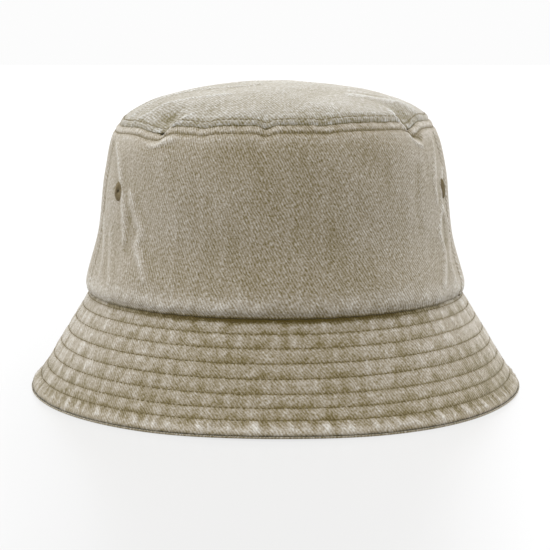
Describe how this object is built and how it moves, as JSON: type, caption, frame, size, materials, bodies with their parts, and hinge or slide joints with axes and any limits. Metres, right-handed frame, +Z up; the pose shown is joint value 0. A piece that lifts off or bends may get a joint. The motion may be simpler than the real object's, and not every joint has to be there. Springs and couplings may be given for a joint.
{
  "type": "bucket hat",
  "caption": "Soft cotton bucket hat: rounded crown with a domed top, and a stitched, sloping brim all round.",
  "frame": {"origin": "centre of the oval that the brim's edge stands on, at ground level", "axes": "+Z up through the crown, -Y towards the wearer's front, +X to the right as the front is seen"},
  "size_m": [0.2422, 0.2544, 0.1495],
  "materials": {
    "twill": "washed khaki cotton twill, matte, faded along seams and folds",
    "thread": "spun cotton sewing thread in a darker khaki, matte",
    "eyelet_thread": "close satin stitch embroidery in khaki thread",
    "sweatband_cotton": "plain weave cotton, soft and matte",
    "tape": "narrow cotton seam binding, fine rib",
    "interlining": "stiff non-woven interlining, undyed",
    "label_cloth": "blank woven satin tape"
  },
  "bodies": {
    "root": {"crown_top": "twill", "crown_front_panel": "twill", "crown_back_panel": "twill", "eyelet_front_left": "eyelet_thread", "eyelet_front_right": "eyelet_thread", "eyelet_back_left": "eyelet_thread", "eyelet_back_right": "eyelet_thread", "brim_upper_front": "twill", "brim_upper_back": "twill", "brim_interlining_front": "interlining", "brim_interlining_back": "interlining", "brim_under_front": "twill", "brim_under_back": "twill", "brim_stitch_row_1": "thread", "brim_stitch_row_2": "thread", "brim_stitch_row_3": "thread", "brim_stitch_row_4": "thread", "brim_stitch_row_5": "thread", "brim_stitch_row_6": "thread", "brim_stitch_row_7": "thread", "brim_stitch_row_8": "thread", "top_stitch_lower": "thread", "top_stitch_upper": "thread", "side_stitch_left_front": "thread", "side_stitch_left_back": "thread", "side_stitch_right_front": "thread", "side_stitch_right_back": "thread", "top_seam_tape": "tape", "side_seam_tape_left": "tape", "side_seam_tape_right": "tape", "sweatband": "sweatband_cotton", "sweatband_stitch": "thread", "size_label": "label_cloth"}
  },
  "joints": []
}
